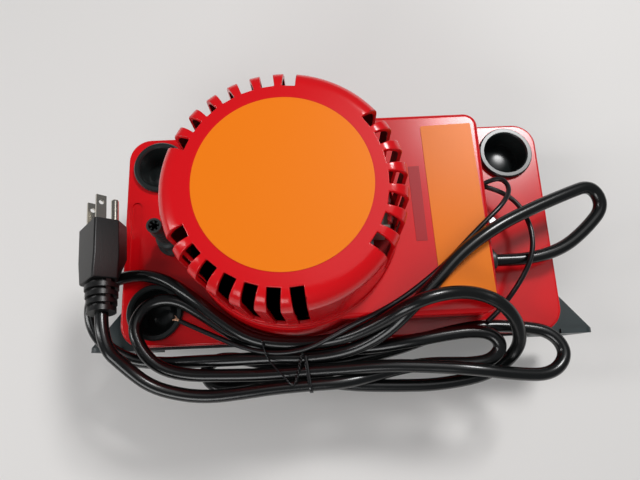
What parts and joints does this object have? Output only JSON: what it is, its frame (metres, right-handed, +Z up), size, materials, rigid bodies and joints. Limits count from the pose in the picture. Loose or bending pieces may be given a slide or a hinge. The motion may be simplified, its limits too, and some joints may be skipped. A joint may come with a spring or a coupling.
{
  "type": "condensate pump",
  "caption": "Low water tank whose red lid carries a motor under a slotted cover, a switch housing, inlet bungs, a barbed check valve and its tied-up mains lead.",
  "frame": {"origin": "centre of the tank's underside, on the ground", "axes": "+Z up, +X from the check valve end to the switch housing end, -Y the side with the two wall ears and the tied lead"},
  "size_m": [0.3296, 0.1773, 0.1707],
  "materials": {
    "tank_plastic": "satin, moulded",
    "red_plastic": "high gloss, moulded",
    "seal_rubber": "matt",
    "bung_rubber": "soft sheen",
    "orange_film": "satin film, left blank",
    "white_film": "matt film, left blank",
    "zinc_steel": "zinc plated",
    "shaft_steel": "ground",
    "lamination_steel": "blued laminations",
    "coil_wrap": "yellow tape",
    "pale_plastic": "natural nylon",
    "bearing_bronze": "sintered",
    "pump_plastic": "moulded",
    "switch_plastic": "moulded",
    "button_plastic": "moulded",
    "black_plastic": "satin, moulded",
    "cord_jacket": "glossy flexible jacket",
    "wire_jacket": "glossy insulation",
    "copper": "bare strands",
    "plug_plastic": "satin, moulded",
    "nickel_plate": "nickel plated",
    "tie_paper": "plastic covered wire",
    "float_plastic": "closed foam"
  },
  "bodies": {
    "tank": {"tank": "tank_plastic"},
    "head": {"lid_seal": "seal_rubber", "lid": "red_plastic", "lid_screw": "zinc_steel", "switch_housing": "red_plastic", "deck_label": "orange_film", "data_strip": "white_film", "motor_cover": "red_plastic", "motor_label": "orange_film", "inlet_bung_front_left": "bung_rubber", "stator_core": "lamination_steel", "stator_coil": "coil_wrap", "coil_bobbin": "pale_plastic", "upper_bearing_bracket": "zinc_steel", "lower_bearing_bracket": "zinc_steel", "upper_bearing": "bearing_bronze", "lower_bearing": "bearing_bronze", "motor_screws": "zinc_steel", "motor_standoffs": "zinc_steel", "shaft_bush": "pale_plastic", "pump_column": "pump_plastic", "volute": "pump_plastic", "volute_cover": "pump_plastic", "discharge_tube": "pump_plastic", "switch_bracket": "zinc_steel", "lever_pin": "zinc_steel", "run_switch": "switch_plastic", "alarm_switch": "switch_plastic", "terminal_block": "pale_plastic", "strain_relief": "black_plastic", "wire_grommet": "seal_rubber", "power_cord": "cord_jacket", "alarm_wire_a": "wire_jacket", "alarm_wire_b": "wire_jacket", "wire_end": "copper", "plug_body": "plug_plastic", "plug_strain_relief": "plug_plastic", "plug_blades": "nickel_plate", "ground_pin": "nickel_plate", "twist_tie": "tie_paper"},
    "rotor": {"rotor_core": "lamination_steel", "motor_shaft": "shaft_steel", "cooling_fan": "pale_plastic", "impeller": "pump_plastic"},
    "float": {"float_block": "float_plastic", "float_rod": "pale_plastic"},
    "lever": {"switch_lever": "pale_plastic"},
    "run_button": {"run_plunger": "button_plastic"},
    "alarm_button": {"alarm_plunger": "button_plastic"},
    "valve": {"check_valve": "black_plastic"},
    "ball": {"valve_ball": "shaft_steel"},
    "bung_rear_left": {"inlet_bung_rear_left": "bung_rubber"},
    "bung_rear_right": {"inlet_bung_rear_right": "bung_rubber"}
  },
  "joints": [
    {"name": "head_lift", "type": "slide", "parent": "tank", "child": "head", "axis": [0, 0, 1], "range_m": [0, 0.08]},
    {"name": "rotor_spin", "type": "hinge", "parent": "head", "child": "rotor", "pos_m": [-0.0277, 0, 0.117], "axis": [0, 0, 1], "continuous": true},
    {"name": "float_rise", "type": "slide", "parent": "head", "child": "float", "axis": [0, 0, 1], "range_m": [0, 0.014]},
    {"name": "lever_tilt", "type": "hinge", "parent": "head", "child": "lever", "pos_m": [0.024, 0, 0.0879], "axis": [0, -1, 0], "range_deg": [0, 19.2]},
    {"name": "run_press", "type": "slide", "parent": "head", "child": "run_button", "axis": [0, 0, -1], "range_m": [0, 0.0019]},
    {"name": "alarm_press", "type": "slide", "parent": "head", "child": "alarm_button", "axis": [0, 0, -1], "range_m": [0, 0.0019]},
    {"name": "valve_turn", "type": "hinge", "parent": "head", "child": "valve", "pos_m": [-0.1074, -0.003, 0.07], "axis": [0, 0, 1], "range_deg": [0, 90]},
    {"name": "ball_lift", "type": "slide", "parent": "valve", "child": "ball", "axis": [0, 0, 1], "range_m": [0, 0.003]},
    {"name": "bung_pull_rear_left", "type": "slide", "parent": "head", "child": "bung_rear_left", "axis": [0, 0, 1], "range_m": [0, 0.025]},
    {"name": "bung_pull_rear_right", "type": "slide", "parent": "head", "child": "bung_rear_right", "axis": [0, 0, 1], "range_m": [0, 0.025]}
  ],
  "couplings": [
    {"joint": "lever_tilt", "follows": "float_rise", "rad_per_m": 23.81},
    {"joint": "run_press", "follows": "float_rise", "ratio": 0.12857},
    {"joint": "alarm_press", "follows": "float_rise", "ratio": 0.12857}
  ]
}
